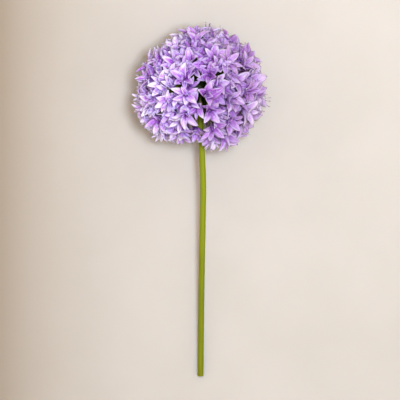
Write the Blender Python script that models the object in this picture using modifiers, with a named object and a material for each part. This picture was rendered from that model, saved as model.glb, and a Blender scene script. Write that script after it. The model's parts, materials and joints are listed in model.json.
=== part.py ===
"""A cut allium bloom lying on a flat surface.

The globe of florets rests on the florets beneath it, and the cut end of the stem touches the
surface. Metres, +Z up. The origin is on the surface, straight below the middle of the globe.
+Y runs from the cut end to the crown of the globe, and +X lies across.
"""

import math
import random
from typing import NamedTuple

import bmesh
import bpy
from mathutils import Vector

MM = 0.001
WELD = 0.00001

# The globe of florets: a little flat at its crown, with a bulge to one side of the stem and a hollow
# close beside it, where the stem also shows through an opening in the upper and lower florets
GLOBE_HEIGHT = 64.0 * MM
GLOBE_CENTRE = Vector((0, 0, GLOBE_HEIGHT))
FLORET_REACH = 59.2 * MM
REACH_SCATTER = 3.5 * MM
CROWN_DIRECTION = Vector((-0.17, 0.98, 0)).normalized()
FLATNESS = 0.085
BULGE_DIRECTION = Vector((-0.82, -0.55, 0.1)).normalized()
BULGE = 0.15
BULGE_NARROWNESS = 10
HOLLOW_DIRECTION = Vector((-0.2, -0.97, 0)).normalized()
HOLLOW = 0.27
HOLLOW_NARROWNESS = 12
LATTICE_COUNT = 98
STEM_CLEAR = math.radians(23.0)
OPENING = Vector((-3.5, -40.0, 0)) * MM
OPENING_RADIUS = 18.0 * MM
OPENING_DEPTH = 15.0 * MM
SPREAD_STEPS = 80
SPREAD_STRENGTH = 0.0011
SPREAD_RANGE = 0.75
DIRECTION_JITTER = 0.03
FACING_JITTER = 0.15
PRESS_STEP = 0.004 * MM
SEED = 4022

# One floret: six petals round a small knob, on its stalk. Those of the +X side are larger, and a
# petal takes at most this share of the room between its neighbours
PETAL_COUNT = 6
PETAL_LENGTH = 18.4 * MM
PETAL_WIDTH = 8.6 * MM
PETAL_ROOM = 0.95
PETAL_THICKNESS = 0.75 * MM
LENGTH_SCATTER = 0.09
SIDE_GROWTH = 0.1
CUP_MEAN = math.radians(48.0)
CUP_SCATTER = math.radians(11.0)
RECURVE = math.radians(27.0)
HUB_RADIUS = 2.4 * MM
HUB_THICKNESS = 1.15 * MM
KNOB_HEIGHT = 2.6 * MM
STALK_ROOT_RADIUS = 0.85 * MM
STALK_ROOT_DEPTH = 8.0 * MM
GUIDE_LIMIT = 0.9

# Florets of the upper side, placed by hand: across and along in mm, and their turn in degrees
PLACED_FLORETS = [
    (-18.6, 9.0, 37),
    (17.3, 2.3, 0),
    (6.4, -9.4, 24),
    (-14.4, -9.2, 35),
    (28.3, 25.2, 41),
    (7.2, 25.4, 12),
    (-9.6, 29.5, 50),
    (11.6, -26.6, 5),
    (-14.7, -27.6, 28),
    (30.5, -34.9, 17),
    (13.6, -43.0, 33),
    (-41.2, 3.4, 9),
]

# The receptacle in the middle of the globe, from its crown to its flat foot: radius and height, mm
RECEPTACLE_PROFILE = [(0, 11), (6.4, 9.2), (10.6, 3.6), (10.4, -3.6), (6, -9.6), (3.5, -14), (0, -14)]
RECEPTACLE_STEPS = 12
NECK_FOOT = 14.0 * MM
SEAT_GAP = 0.3 * MM

# The stem, from the middle of the globe to the cut end: its bend is along and across, mm
STEM_RADIUS = 3.45 * MM
STEM_LENGTH = 328.0 * MM
STEM_BEND = [(0, 0.0), (-36, 0.6), (-66, 2.5), (-110, 4.2), (-155, 3.6), (-229, 2.3), (-328, 1.2)]
STEM_POINTS = 28
STEM_BEVEL = 4
STEM_EDGE_ANGLE = math.radians(40)
CUT_PRESS = 0.15 * MM

# Finishes: colour and roughness
PETAL_FINISH = ((0.49, 0.31, 0.76, 1.0), 0.6)
STEM_FINISH = ((0.27, 0.32, 0.035, 1.0), 0.5)

DOWN = Vector((0, 0, -1))
CROWNWARD = Vector((0, 1, 0))


class Floret(NamedTuple):
    """The place of one floret: its hub, the way it faces, its turn, and how its petals stand.

    No petal reaches below its floor, which is a hair higher for each floret, so that pressed
    petals cross cleanly.
    """

    direction: Vector
    hub: Vector
    facing: Vector
    turn: float
    length: float
    cups: list
    floor: float


def stem_point(distance):
    """A point of the stem's centre line, at a distance along -Y from the middle of the globe."""
    places = [Vector((along, across)) * MM for along, across in STEM_BEND]
    last = len(places) - 2
    index = next((i for i in range(last) if places[i + 1].x <= -distance), last)
    start, end = places[index], places[index + 1]
    before, after = places[max(index - 1, 0)], places[min(index + 2, last + 1)]
    run = end.x - start.x
    share = (-distance - start.x) / run
    slope_start = (end.y - before.y) / (end.x - before.x) * run
    slope_end = (after.y - start.y) / (after.x - start.x) * run
    across = (
        (2 * share**3 - 3 * share**2 + 1) * start.y
        + (share**3 - 2 * share**2 + share) * slope_start
        + (3 * share**2 - 2 * share**3) * end.y
        + (share**3 - share**2) * slope_end
    )
    foot = STEM_RADIUS - CUT_PRESS
    height = foot + (GLOBE_HEIGHT - foot) * (1 - distance / STEM_LENGTH)
    return Vector((across, -distance, height))


STEM_DIRECTION = (stem_point(NECK_FOOT) - GLOBE_CENTRE).normalized()


def scatter(rng, size):
    """A small random offset, at most two sizes long on each axis."""
    return Vector([max(-2, min(2, rng.gauss(0, 1))) * size for _ in range(3)])


def reach_towards(direction):
    """The distance from the middle of the globe to the hubs of its florets, in a direction."""
    bulge = BULGE * max(0.0, direction.dot(BULGE_DIRECTION)) ** BULGE_NARROWNESS
    hollow = HOLLOW * max(0.0, direction.dot(HOLLOW_DIRECTION)) ** HOLLOW_NARROWNESS
    flat = FLATNESS * max(0.0, direction.dot(CROWN_DIRECTION))
    return FLORET_REACH * (1 + bulge - hollow - flat)


def may_grow(direction):
    """Whether a floret grows in a direction: clear of the stem, and not above or below the opening."""
    hub = direction * reach_towards(direction)
    is_beside = (Vector((hub.x, hub.y, 0)) - OPENING).length > OPENING_RADIUS
    return direction.angle(STEM_DIRECTION) > STEM_CLEAR and (is_beside or abs(hub.z) < OPENING_DEPTH)


def placed_directions():
    """The directions of the floret underneath and of those placed by hand."""
    directions = [DOWN]
    for across, along, _ in PLACED_FLORETS:
        plan = Vector((across, along, 0)) * MM
        directions.append((plan - DOWN * math.sqrt(FLORET_REACH**2 - plan.length**2)).normalized())
    return directions


def spread_directions(rng):
    """The directions of all the florets: a lattice round the placed ones, spread evenly."""
    placed = placed_directions()
    free = []
    for i in range(LATTICE_COUNT):
        height = 1 - 2 * (i + 0.5) / LATTICE_COUNT
        turn = i * math.pi * (3 - math.sqrt(5))
        ring = math.sqrt(1 - height**2)
        free.append(Vector((ring * math.cos(turn), height, ring * math.sin(turn))))
    for fixed in placed:
        free.remove(min(free, key=fixed.angle))
    free = [spot for spot in free if may_grow(spot)]
    for _ in range(SPREAD_STEPS):
        moved = []
        for spot in free:
            gaps = [spot - other for other in placed + free]
            push = sum((gap / gap.length**3 for gap in gaps if 0 < gap.length < SPREAD_RANGE), Vector())
            target = (spot + push * SPREAD_STRENGTH).normalized()
            moved.append(target if may_grow(target) else spot)
        free = moved
    return placed + [(spot + scatter(rng, DIRECTION_JITTER)).normalized() for spot in free]


def plan_florets():
    """Where every floret is, how it faces and how its petals stand. The first is underneath."""
    rng = random.Random(SEED)
    florets = []
    for number, direction in enumerate(spread_directions(rng)):
        reach = reach_towards(direction) + rng.uniform(-1, 1) * REACH_SCATTER
        facing = (direction + scatter(rng, FACING_JITTER)).normalized()
        turn = rng.uniform(0, 360)
        growth = SIDE_GROWTH * direction.x + rng.uniform(-1, 1) * LENGTH_SCATTER
        length = PETAL_LENGTH * (1 + growth)
        cup = CUP_MEAN + rng.uniform(-1, 1) * CUP_SCATTER
        cups = [cup + rng.uniform(-0.5, 0.5) * CUP_SCATTER for _ in range(PETAL_COUNT)]
        if number == 0:
            reach = GLOBE_HEIGHT - PETAL_THICKNESS / 2
            facing = direction
            cups = [0.0] * PETAL_COUNT
        elif number <= len(PLACED_FLORETS):
            turn = PLACED_FLORETS[number - 1][2]
        hub = GLOBE_CENTRE + direction * reach
        floor = PRESS_STEP * number
        florets.append(Floret(direction, hub, facing, math.radians(turn), length, cups, floor))
    return florets


def pressed(point, floor):
    """The point, lifted to the floor where it would be lower."""
    return Vector((point.x, point.y, max(point.z, floor)))


def across_floret(facing, turn):
    """The direction across a floret at a turn round the way it faces, which starts from +X."""
    guide = CROWNWARD if abs(facing.y) < GUIDE_LIMIT else -DOWN
    side = guide.cross(facing).normalized()
    return side * math.cos(turn) + facing.cross(side) * math.sin(turn)


def extrude_to(bm, face, floor, place_of):
    """Extrudes one face, and moves each new corner to the place that the function gives it."""
    new_face = bmesh.ops.extrude_discrete_faces(bm, faces=[face])["faces"][0]
    for vert in new_face.verts:
        vert.co = pressed(place_of(vert.co), floor)
    return new_face


def add_petal(bm, root_face, floret, outward, cup):
    """One petal, drawn out of a side of the hub to its widest part, and then to its point."""
    sideways = floret.facing.cross(outward)
    half = floret.length / 2
    hub_side = HUB_RADIUS * math.cos(math.pi / PETAL_COUNT)
    room = (hub_side + half * math.cos(cup)) * math.tan(math.pi / PETAL_COUNT)
    reach_aside = sideways * min(PETAL_WIDTH / 2, PETAL_ROOM * room)
    root = floret.hub + outward * hub_side
    middle = root + (outward * math.cos(cup) + floret.facing * math.sin(cup)) * half
    bent = cup - RECURVE
    floor = floret.floor + PETAL_THICKNESS / 2
    tip = pressed(middle + (outward * math.cos(bent) + floret.facing * math.sin(bent)) * half, floor)
    left = pressed(middle + reach_aside, floor)
    right = pressed(middle - reach_aside, floor)
    face_normal = (tip - root).cross(left - right).normalized()
    half_thickness = face_normal * PETAL_THICKNESS / 2

    def edge_place(corner):
        edge = left if (corner - root).dot(sideways) > 0 else right
        inner = (corner - floret.hub).dot(floret.facing) > 0
        return edge + (half_thickness if inner else -half_thickness)

    end = extrude_to(bm, root_face, floret.floor, edge_place)
    bmesh.ops.poke(bm, faces=[end])["verts"][0].co = tip


def add_floret(name, floret):
    """A floret with its stalk, from its root in the receptacle to the points of its petals."""
    bm = bmesh.new()
    bmesh.ops.create_cone(bm, cap_ends=True, segments=PETAL_COUNT, radius1=1, radius2=1, depth=2)
    root = GLOBE_CENTRE + floret.direction * STALK_ROOT_DEPTH
    for vert in bm.verts:
        ring = across_floret(floret.facing, floret.turn + math.atan2(vert.co.y, vert.co.x))
        if vert.co.z < 0:
            vert.co = root + ring * STALK_ROOT_RADIUS
        else:
            vert.co = floret.hub + ring * HUB_RADIUS - floret.facing * HUB_THICKNESS / 2
    caps = [face for face in bm.faces if len(face.verts) == PETAL_COUNT]
    top = max(caps, key=lambda cap: cap.calc_center_median().dot(floret.facing))
    crown = extrude_to(bm, top, floret.floor, lambda corner: corner + floret.facing * HUB_THICKNESS)
    sides = [face for edge in crown.edges for face in edge.link_faces if face != crown]
    for side, cup in zip(sides, floret.cups):
        spoke = side.calc_center_median() - floret.hub
        outward = (spoke - floret.facing * spoke.dot(floret.facing)).normalized()
        add_petal(bm, side, floret, outward, cup)
    knob = bmesh.ops.poke(bm, faces=[crown])["verts"][0]
    knob.co = pressed(knob.co + floret.facing * KNOB_HEIGHT, floret.floor)
    bmesh.ops.recalc_face_normals(bm, faces=bm.faces)
    bmesh.ops.triangulate(bm, faces=bm.faces)
    mesh = bpy.data.meshes.new(name)
    bm.to_mesh(mesh)
    bm.free()
    return bpy.data.objects.new(name, mesh)


def add_receptacle(name, collection):
    """The swollen top of the stem inside the globe, turned about the stem's own direction."""
    profile = bpy.data.meshes.new(name)
    points = [(radius * MM, 0, height * MM) for radius, height in RECEPTACLE_PROFILE]
    profile.from_pydata(points, [(i, i + 1) for i in range(len(points) - 1)], [])
    receptacle = bpy.data.objects.new(name, profile)
    collection.objects.link(receptacle)
    receptacle.location = GLOBE_CENTRE
    receptacle.rotation_mode = "QUATERNION"
    receptacle.rotation_quaternion = (-STEM_DIRECTION).to_track_quat("Z", "Y")
    screw = receptacle.modifiers.new("turned", "SCREW")
    screw.steps = screw.render_steps = RECEPTACLE_STEPS
    screw.use_merge_vertices = True
    screw.merge_threshold = WELD
    screw.use_smooth_shade = False
    apply_modifiers(receptacle)
    return receptacle


def plain_material(name, colour, roughness):
    """A plain finish of one colour."""
    material = bpy.data.materials.new(name)
    material.use_nodes = True
    shader = material.node_tree.nodes["Principled BSDF"]
    shader.inputs["Base Color"].default_value = colour
    shader.inputs["Roughness"].default_value = roughness
    shader.inputs["Metallic"].default_value = 0.0
    return material


def evaluated_mesh(obj):
    """The object's mesh as its modifiers or its bevel leave it."""
    graph = bpy.context.evaluated_depsgraph_get()
    return bpy.data.meshes.new_from_object(obj.evaluated_get(graph))


def apply_modifiers(obj):
    """Gives the object its evaluated mesh, in place of the modifiers."""
    mesh = evaluated_mesh(obj)
    obj.modifiers.clear()
    obj.data = mesh


def build_head(collection, material):
    """The flower head: receptacle, stalks and florets, joined in one body."""
    sprays = bpy.data.collections.new("florets to join")
    bpy.context.scene.collection.children.link(sprays)
    for number, floret in enumerate(plan_florets()):
        sprays.objects.link(add_floret(f"floret_{number}", floret))
    head = add_receptacle("flower_head", collection)
    join = head.modifiers.new("joined florets", "BOOLEAN")
    join.operation = "UNION"
    join.operand_type = "COLLECTION"
    join.collection = sprays
    join.solver = "MANIFOLD"
    apply_modifiers(head)
    for spray in list(sprays.objects):
        bpy.data.objects.remove(spray)
    bpy.data.collections.remove(sprays)
    head.data.materials.clear()
    head.data.materials.append(material)


def build_stem(collection, material):
    """The stem: a tube along its bend, flat at both ends, pressed on the surface at the cut end."""
    curve = bpy.data.curves.new("stem", "CURVE")
    curve.dimensions = "3D"
    curve.bevel_depth = STEM_RADIUS
    curve.bevel_resolution = STEM_BEVEL
    curve.use_fill_caps = True
    start = NECK_FOOT + SEAT_GAP
    straight = [GLOBE_CENTRE + STEM_DIRECTION * (start + lead * STEM_RADIUS) for lead in (0, 1)]
    first = start + 3 * STEM_RADIUS
    step = (STEM_LENGTH - first) / (STEM_POINTS - 1)
    points = straight + [stem_point(first + step * i) for i in range(STEM_POINTS)]
    spline = curve.splines.new("POLY")
    spline.points.add(len(points) - 1)
    for point, place in zip(spline.points, points):
        point.co = (*place, 1)
    guide = bpy.data.objects.new("stem guide", curve)
    collection.objects.link(guide)
    mesh = evaluated_mesh(guide)
    stem = bpy.data.objects.new("stem", mesh)
    stem.matrix_world = guide.matrix_world
    bpy.data.objects.remove(guide)
    collection.objects.link(stem)
    bm = bmesh.new()
    bm.from_mesh(mesh)
    bmesh.ops.remove_doubles(bm, verts=bm.verts, dist=WELD)
    for vert in bm.verts:
        vert.co = pressed(vert.co, 0)
    bm.to_mesh(mesh)
    bm.free()
    mesh.shade_smooth()
    mesh.set_sharp_from_angle(angle=STEM_EDGE_ANGLE)
    mesh.materials.clear()
    mesh.materials.append(material)


def main():
    """Builds the two nodes of the bloom."""
    for obj in list(bpy.data.objects):
        bpy.data.objects.remove(obj)
    collection = bpy.data.collections.new("allium bloom")
    bpy.context.scene.collection.children.link(collection)
    build_head(collection, plain_material("petals", *PETAL_FINISH))
    build_stem(collection, plain_material("stem", *STEM_FINISH))


main()
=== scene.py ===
"""The allium bloom, dressed for its render.

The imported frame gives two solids, the flower head and the stem. Here finer pieces stand for them: the two
whorls of tepals, stamens with their anthers, pistils, stalks and receptacle for the head, and a ribbed,
streaked stem with its cut face. The florets keep the places that the solids give them, by the same rule,
and smaller ones fill the depth between them.

Units are metres. +Z is up from the surface that the bloom lies on, and +Y runs from the cut end of the
stem to the crown of the globe.
"""

import json
import logging
import math
import random
from dataclasses import dataclass
from enum import Enum

import bmesh
import bpy
from bpy.types import ID, Material, Mesh, Node, NodeSocket, NodeTree, Object
from mathutils import Matrix, Quaternion, Vector
from mathutils.geometry import interpolate_bezier

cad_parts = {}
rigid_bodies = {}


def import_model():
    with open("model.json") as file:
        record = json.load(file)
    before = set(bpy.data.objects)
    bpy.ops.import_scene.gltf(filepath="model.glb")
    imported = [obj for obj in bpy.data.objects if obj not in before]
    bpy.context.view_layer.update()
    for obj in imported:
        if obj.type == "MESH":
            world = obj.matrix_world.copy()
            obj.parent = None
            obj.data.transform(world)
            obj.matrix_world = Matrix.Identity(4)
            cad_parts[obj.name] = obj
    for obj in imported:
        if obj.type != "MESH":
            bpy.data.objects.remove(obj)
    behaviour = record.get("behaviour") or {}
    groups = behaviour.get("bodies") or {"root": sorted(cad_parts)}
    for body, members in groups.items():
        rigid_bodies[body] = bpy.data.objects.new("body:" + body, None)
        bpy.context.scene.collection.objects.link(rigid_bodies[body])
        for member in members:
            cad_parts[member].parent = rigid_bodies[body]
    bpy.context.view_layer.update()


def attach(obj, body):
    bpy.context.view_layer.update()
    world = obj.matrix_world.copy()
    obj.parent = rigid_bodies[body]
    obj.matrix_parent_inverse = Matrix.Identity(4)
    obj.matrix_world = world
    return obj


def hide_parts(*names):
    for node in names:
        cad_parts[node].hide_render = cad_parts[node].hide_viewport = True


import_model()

LOG = logging.getLogger("allium")
MM = 0.001
BODY = "root"
DOWN = Vector((0, 0, -1))
CROWNWARD = Vector((0, 1, 0))
NEAR_CROWN = 0.9
PETALS_PER_FLORET = 6
# Under this height a piece of the head is pressed together, so that it stays above the surface.
SQUEEZE_HEIGHT = 2.5 * MM
# What places a copy on its spot, with the kind of attribute that holds it.
PLACING = {"turned": "QUATERNION", "size": "FLOAT_VECTOR", "variant": "INT"}

Colour = tuple[float, float, float, float]
Places = tuple[tuple[float, ...], ...]


class Slot(Enum):
    """The record's material slots."""

    PETALS = "petals"
    STEM = "stem"


class Whorl(Enum):
    """The two rings of three tepals in a floret."""

    OUTER = 0
    INNER = 1


def screen_colour(red: int, green: int, blue: int) -> Colour:
    """Turns a screen colour into the shader's linear one.

    Args:
        red: The red channel, 0 to 255.
        green: The green channel, 0 to 255.
        blue: The blue channel, 0 to 255.

    Returns:
        The linear colour, with full alpha.
    """
    shares = [channel / 255 for channel in (red, green, blue)]
    linear = [s / 12.92 if s <= 0.04045 else ((s + 0.055) / 1.055) ** 2.4 for s in shares]
    return (linear[0], linear[1], linear[2], 1.0)


def swing(rng: random.Random, size: float) -> float:
    """A random offset of up to a size, to either side."""
    return rng.uniform(-1, 1) * size


def scatter(rng: random.Random, size: float) -> Vector:
    """A small random offset, at most two sizes long on each axis."""
    return Vector([max(-2, min(2, rng.gauss(0, 1))) * size for _ in range(3)])


def lattice(count: int) -> list[Vector]:
    """Spreads directions evenly over a globe, from its crown to its foot.

    Args:
        count: The number of directions.

    Returns:
        The directions.
    """
    directions = []
    for i in range(count):
        height = 1 - 2 * (i + 0.5) / count
        turn = i * math.pi * (3 - math.sqrt(5))
        ring = math.sqrt(1 - height**2)
        directions.append(Vector((ring * math.cos(turn), height, ring * math.sin(turn))))
    return directions


def link_object(name: str, data: ID) -> Object:
    """Makes an object at the origin and puts it in the scene.

    Args:
        name: The object's name.
        data: Its mesh, light or camera.

    Returns:
        The new object.
    """
    made = bpy.data.objects.new(name, data)
    bpy.context.scene.collection.objects.link(made)
    return made


def mesh_of_lines(name: str, lines: list[list[Vector]]) -> Mesh:
    """Makes a mesh of open lines.

    Args:
        name: The mesh's name.
        lines: The points of each line. A line of one point stays a loose point.

    Returns:
        The mesh.
    """
    points, edges = [], []
    for line in lines:
        edges += [(i, i + 1) for i in range(len(points), len(points) + len(line) - 1)]
        points += line
    mesh = bpy.data.meshes.new(name)
    mesh.from_pydata(points, edges, [])
    return mesh


def evaluated_mesh(host: Object) -> Mesh:
    """Takes a host's mesh as its modifiers leave it, and removes the host.

    Args:
        host: An object with its modifiers.

    Returns:
        A plain mesh.
    """
    bpy.context.view_layer.update()
    graph = bpy.context.evaluated_depsgraph_get()
    mesh = bpy.data.meshes.new_from_object(host.evaluated_get(graph))
    bpy.data.objects.remove(host)
    return mesh


class Graph:
    """A node tree under construction, for a shader or for geometry."""

    def __init__(self, tree: NodeTree) -> None:
        """Starts on an empty or a new tree."""
        self.tree = tree

    def feed(self, socket: NodeSocket, value: object) -> None:
        """Links an input to another node's output, or sets its value.

        Args:
            socket: The input.
            value: The output to link, or the value.
        """
        if isinstance(value, NodeSocket):
            self.tree.links.new(value, socket)
        else:
            socket.default_value = value

    def add(self, kind: str, inputs: dict | None = None, **options: object) -> Node:
        """Adds a node.

        Args:
            kind: The node's type.
            inputs: What feeds each input, by its name or number.
            options: The node's own settings.

        Returns:
            The new node.
        """
        node = self.tree.nodes.new(kind)
        for name, value in options.items():
            setattr(node, name, value)
        for key, value in (inputs or {}).items():
            self.feed(node.inputs[key], value)
        return node

    def first(self, kind: str, inputs: dict | None = None, **options: object) -> NodeSocket:
        """Adds a node as add does, and returns its first output."""
        return self.add(kind, inputs, **options).outputs[0]

    def math(self, operation: str, *values: object) -> NodeSocket:
        """Works on sockets or numbers, from the first to the last where there are more than two.

        Args:
            operation: The operation of a Math node.
            values: The sockets or numbers.

        Returns:
            The result.
        """
        result = self.first("ShaderNodeMath", dict(enumerate(values[:2])), operation=operation)
        for value in values[2:]:
            result = self.first("ShaderNodeMath", {0: result, 1: value}, operation=operation)
        return result

    def plus(self, *values: object) -> NodeSocket:
        """The sum of sockets or numbers."""
        return self.math("ADD", *values)

    def minus(self, first: object, second: object) -> NodeSocket:
        """The first socket or number, less the second."""
        return self.math("SUBTRACT", first, second)

    def times(self, *values: object) -> NodeSocket:
        """The product of sockets or numbers."""
        return self.math("MULTIPLY", *values)

    def sway(self, mask: NodeSocket, share: float) -> NodeSocket:
        """A mask from 0 to 1, made to swing about nought by a share."""
        return self.times(self.minus(mask, 0.5), share)

    def spread(
        self, value: NodeSocket, low: float, high: float, to_low: float = 0.0, to_high: float = 1.0
    ) -> NodeSocket:
        """Maps a value from one range to another, clamped, and returns the result."""
        inputs = {"Value": value, "From Min": low, "From Max": high, "To Min": to_low, "To Max": to_high}
        return self.first("ShaderNodeMapRange", inputs)

    def blend(self, share: NodeSocket, low: object, high: object) -> NodeSocket:
        """Mixes two colours by a share, and returns the result."""
        return self.add("ShaderNodeMix", {"Factor": share, 6: low, 7: high}, data_type="RGBA").outputs[2]

    def parts(self, vector: NodeSocket) -> tuple[NodeSocket, ...]:
        """The X, Y and Z of a vector."""
        return tuple(self.add("ShaderNodeSeparateXYZ", {0: vector}).outputs)

    def joined(self, x: object = 0.0, y: object = 0.0, z: object = 0.0) -> NodeSocket:
        """The vector of an X, a Y and a Z."""
        return self.first("ShaderNodeCombineXYZ", {"X": x, "Y": y, "Z": z})


class Group(Graph):
    """A node group under construction, with its named inputs and its one output."""

    def __init__(self, kind: str, name: str, output: tuple[str, str], inputs: dict[str, str]) -> None:
        """Starts the group.

        Args:
            kind: The kind of its tree.
            name: Its name.
            output: The name and the kind of its output.
            inputs: The kind of each input, by its name.
        """
        super().__init__(bpy.data.node_groups.new(name, kind))
        sockets = [("INPUT", *item) for item in inputs.items()] + [("OUTPUT", *output)]
        for way, socket, socket_kind in sockets:
            self.tree.interface.new_socket(socket, in_out=way, socket_type=f"NodeSocket{socket_kind}")
        self.entry = self.add("NodeGroupInput").outputs

    def end(self, result: NodeSocket) -> NodeTree:
        """Feeds the output, and returns the tree."""
        self.add("NodeGroupOutput", {0: result})
        return self.tree


@dataclass(frozen=True)
class Spot:
    """One point of a host, where a copy of a part goes."""

    place: Vector
    turned: Quaternion
    size: Vector
    variant: int
    tint: float


class Growth(Group):
    """A Geometry Nodes tree that grows one piece on a host of points or lines."""

    def __init__(self, name: str, **sizes: str) -> None:
        """Starts the tree.

        Args:
            name: The piece's name.
            sizes: The kind of each further input, by its name.
        """
        self.name = name
        inputs = {"Host": "Geometry", "Finish": "Material", "Squeeze": "Float"} | sizes
        super().__init__("GeometryNodeTree", name, ("Piece", "Geometry"), inputs)

    def share(self) -> NodeSocket:
        """How far along its curve each point is, from 0 to 1."""
        return self.first("GeometryNodeSplineParameter")

    def mark(self, geometry: NodeSocket, name: str, value: NodeSocket) -> NodeSocket:
        """Keeps a value on each point, for the finish to read, and returns the geometry."""
        inputs = {"Geometry": geometry, "Name": name, "Value": value}
        return self.first("GeometryNodeStoreNamedAttribute", inputs)

    def moved(self, geometry: NodeSocket, place: NodeSocket) -> NodeSocket:
        """Moves each point to its new place, and returns the geometry."""
        return self.first("GeometryNodeSetPosition", {"Geometry": geometry, "Position": place})

    def ring(self, sides: object) -> NodeSocket:
        """A round profile of a number of sides, one metre in radius."""
        return self.first("GeometryNodeCurvePrimitiveCircle", {"Resolution": sides, "Radius": 1.0})

    def tube(self, curve: NodeSocket, profile: NodeSocket, radius: object) -> NodeSocket:
        """Sweeps a profile along a curve, and marks the ways along and round the tube.

        Args:
            curve: The curve to follow.
            profile: The closed profile, about one metre in radius.
            radius: The tube's radius, which may change along the curve.

        Returns:
            The tube, with closed ends.
        """
        inputs = {
            "Curve": self.mark(curve, "along", self.share()),
            "Profile Curve": self.mark(profile, "round", self.share()),
            "Scale": radius,
            "Fill Caps": True,
        }
        return self.first("GeometryNodeCurveToMesh", inputs)

    def on_spots(self, part: NodeSocket, pick: bool = False) -> NodeSocket:
        """Puts a copy of a part on each point of the host.

        Args:
            part: The part's geometry, or the variants to pick from.
            pick: Whether each point picks one of several variants.

        Returns:
            The copies.
        """
        turned, size, variant = (
            self.first("GeometryNodeInputNamedAttribute", {"Name": name}, data_type=kind)
            for name, kind in PLACING.items()
        )
        inputs = {
            "Points": self.entry["Host"],
            "Instance": part,
            "Pick Instance": pick,
            "Instance Index": variant,
            "Rotation": turned,
            "Scale": size,
        }
        return self.first("GeometryNodeInstanceOnPoints", inputs)

    def close(self, piece: NodeSocket) -> None:
        """Ends the tree: real geometry, squeezed on the surface, smooth, with its finish.

        What is lower than the squeeze is pressed together above the surface, and none of it goes through.
        A squeeze of nought leaves the piece as it is.

        Args:
            piece: What has grown.
        """
        grown = self.first("GeometryNodeRealizeInstances", {"Geometry": piece})
        squeeze = self.entry["Squeeze"]
        x, y, z = self.parts(self.first("GeometryNodeInputPosition"))
        depth = self.math("DIVIDE", self.minus(z, squeeze), squeeze)
        squeezed = self.times(self.math("EXPONENT", depth), squeeze)
        choice = {"Switch": self.math("LESS_THAN", depth, 0.0), "False": z, "True": squeezed}
        height = self.first("GeometryNodeSwitch", choice, input_type="FLOAT")
        grown = self.moved(grown, self.joined(x, y, height))
        smooth = self.first("GeometryNodeSetShadeSmooth", {"Geometry": grown})
        inputs = {"Geometry": smooth, "Material": self.entry["Finish"]}
        self.end(self.first("GeometryNodeSetMaterial", inputs))

    def host(self, spots: list[Spot]) -> Mesh:
        """Makes a host with one loose point for each spot.

        Args:
            spots: The spots.

        Returns:
            The mesh, with each spot's turn, size, variant and tint as attributes.
        """
        mesh = mesh_of_lines(self.name, [[spot.place] for spot in spots])
        for key, kind in (PLACING | {"tint": "FLOAT"}).items():
            values = mesh.attributes.new(key, kind, "POINT").data
            channel = "vector" if kind == "FLOAT_VECTOR" else "value"
            for item, spot in zip(values, spots):
                setattr(item, channel, getattr(spot, key))
        return mesh

    def grow(self, host: Mesh, finish: Material, **sizes: object) -> Object:
        """Runs the tree on a host.

        Args:
            host: The mesh whose points or lines it grows on.
            finish: The piece's material.
            sizes: The other inputs, by name.

        Returns:
            The piece, a plain mesh at the origin.
        """
        stand = link_object(self.name, host)
        modifier = stand.modifiers.new("growth", "NODES")
        modifier.node_group = self.tree
        values = {"Finish": finish, "Squeeze": SQUEEZE_HEIGHT} | sizes
        for item in self.tree.interface.items_tree:
            if item.name in values:
                modifier[item.identifier] = values[item.name]
        mesh = evaluated_mesh(stand)
        for spent in PLACING:
            if spent in mesh.attributes:
                mesh.attributes.remove(mesh.attributes[spent])
        mesh.materials.clear()
        mesh.materials.append(finish)
        mesh.polygons.foreach_set("material_index", [0] * len(mesh.polygons))
        return link_object(self.name, mesh)


@dataclass(frozen=True)
class Floret:
    """The place of one floret, how it faces, and how its petals stand."""

    direction: Vector
    hub: Vector
    facing: Vector
    turn: float
    scale: float
    cups: tuple[float, ...]
    tint: float

    def spoke(self, angle: float) -> Vector:
        """Finds the direction across the floret at an angle from its turn.

        Args:
            angle: The angle.

        Returns:
            The direction.
        """
        guide = CROWNWARD if abs(self.facing.y) < NEAR_CROWN else -DOWN
        side = guide.cross(self.facing).normalized()
        turn = self.turn + angle
        return side * math.cos(turn) + self.facing.cross(side) * math.sin(turn)

    def turned(self, angle: float, lift: float = 0.0) -> Quaternion:
        """Finds the turn that lays +X along a spoke and +Z on its inner side.

        Args:
            angle: The spoke's angle from the floret's turn.
            lift: The angle by which +X rises from the spoke to the facing.

        Returns:
            The turn.
        """
        outward = self.spoke(angle)
        along = outward * math.cos(lift) + self.facing * math.sin(lift)
        inner = self.facing * math.cos(lift) - outward * math.sin(lift)
        return Matrix((along, inner.cross(along), inner)).transposed().to_quaternion()


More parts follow.
